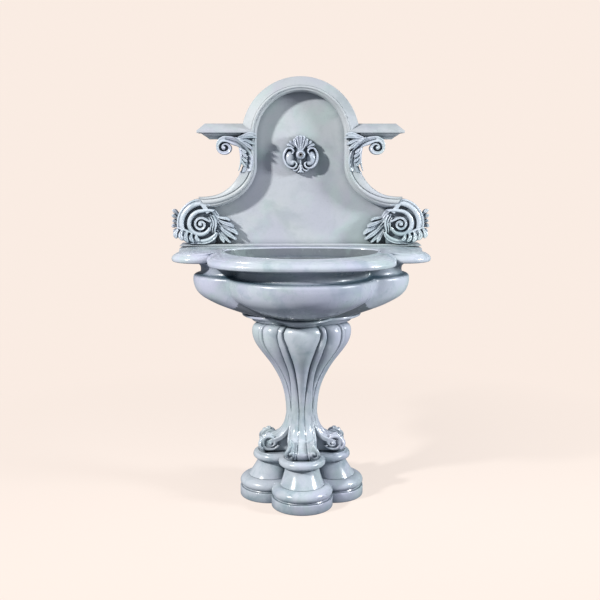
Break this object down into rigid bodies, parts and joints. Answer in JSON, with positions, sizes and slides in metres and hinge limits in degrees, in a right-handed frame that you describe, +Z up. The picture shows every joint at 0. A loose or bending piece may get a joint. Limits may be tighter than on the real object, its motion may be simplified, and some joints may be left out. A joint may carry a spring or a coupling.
{
  "type": "baptismal font",
  "caption": "Carved marble wall font: lobed basin on a fluted stem with turned scroll feet, arched carved back with rosette spout, lift-out drain plug.",
  "frame": {"origin": "middle of the footprint's bounding box, at the floor", "axes": "+Z up, +Y towards the wall behind the font, +X to the right as seen from the front"},
  "size_m": [1.0678, 0.651, 1.64],
  "materials": {
    "polished_marble": "polished white marble with blue-grey mottling",
    "panel_marble": "honed white-grey marble with fine specks",
    "carved_marble": "carved marble with darker patina in its hollows",
    "stainless": "stainless steel",
    "brass": "brushed brass",
    "chrome": "polished chrome",
    "rubber": "black rubber"
  },
  "bodies": {
    "font": {"plinth_slab": "polished_marble", "base_block": "polished_marble", "stem": "polished_marble", "foot_scroll_right": "polished_marble", "foot_scroll_back": "polished_marble", "foot_scroll_left": "polished_marble", "foot_scroll_front": "polished_marble", "collar": "polished_marble", "basin_bowl": "polished_marble", "basin_rim": "polished_marble", "sill": "panel_marble", "back_panel": "panel_marble", "arch_moulding": "panel_marble", "ledge_right": "panel_marble", "ledge_left": "panel_marble", "bed_moulding_right": "panel_marble", "bed_moulding_left": "panel_marble", "side_moulding_right": "panel_marble", "side_moulding_left": "panel_marble", "scroll_bracket_right": "carved_marble", "scroll_bracket_left": "carved_marble", "volute_right": "carved_marble", "volute_left": "carved_marble", "leaf_upper_right": "carved_marble", "leaf_upper_left": "carved_marble", "leaf_neck_right": "carved_marble", "leaf_neck_left": "carved_marble", "leaf_inner_right": "carved_marble", "leaf_inner_left": "carved_marble", "leaf_outer_right": "carved_marble", "leaf_outer_left": "carved_marble", "rosette": "carved_marble", "base_dowel_left": "stainless", "base_dowel_right": "stainless", "collar_dowel_left": "stainless", "collar_dowel_right": "stainless", "rim_dowel_left": "stainless", "rim_dowel_right": "stainless", "panel_dowel_left": "stainless", "panel_dowel_right": "stainless", "wall_cramp_left": "stainless", "wall_cramp_right": "stainless", "spout_nozzle": "stainless", "waste_nut": "brass", "waste_tail": "brass", "supply_pipe": "brass", "supply_nut": "brass", "waste_flange": "chrome", "waste_washer": "rubber", "supply_washer": "rubber"},
    "plug": {"waste_plug": "chrome", "plug_seal": "rubber", "plug_knob": "chrome"}
  },
  "joints": [
    {"name": "plug_lift", "type": "slide", "parent": "font", "child": "plug", "axis": [0, 0, 1], "range_m": [0, 0.25]}
  ]
}
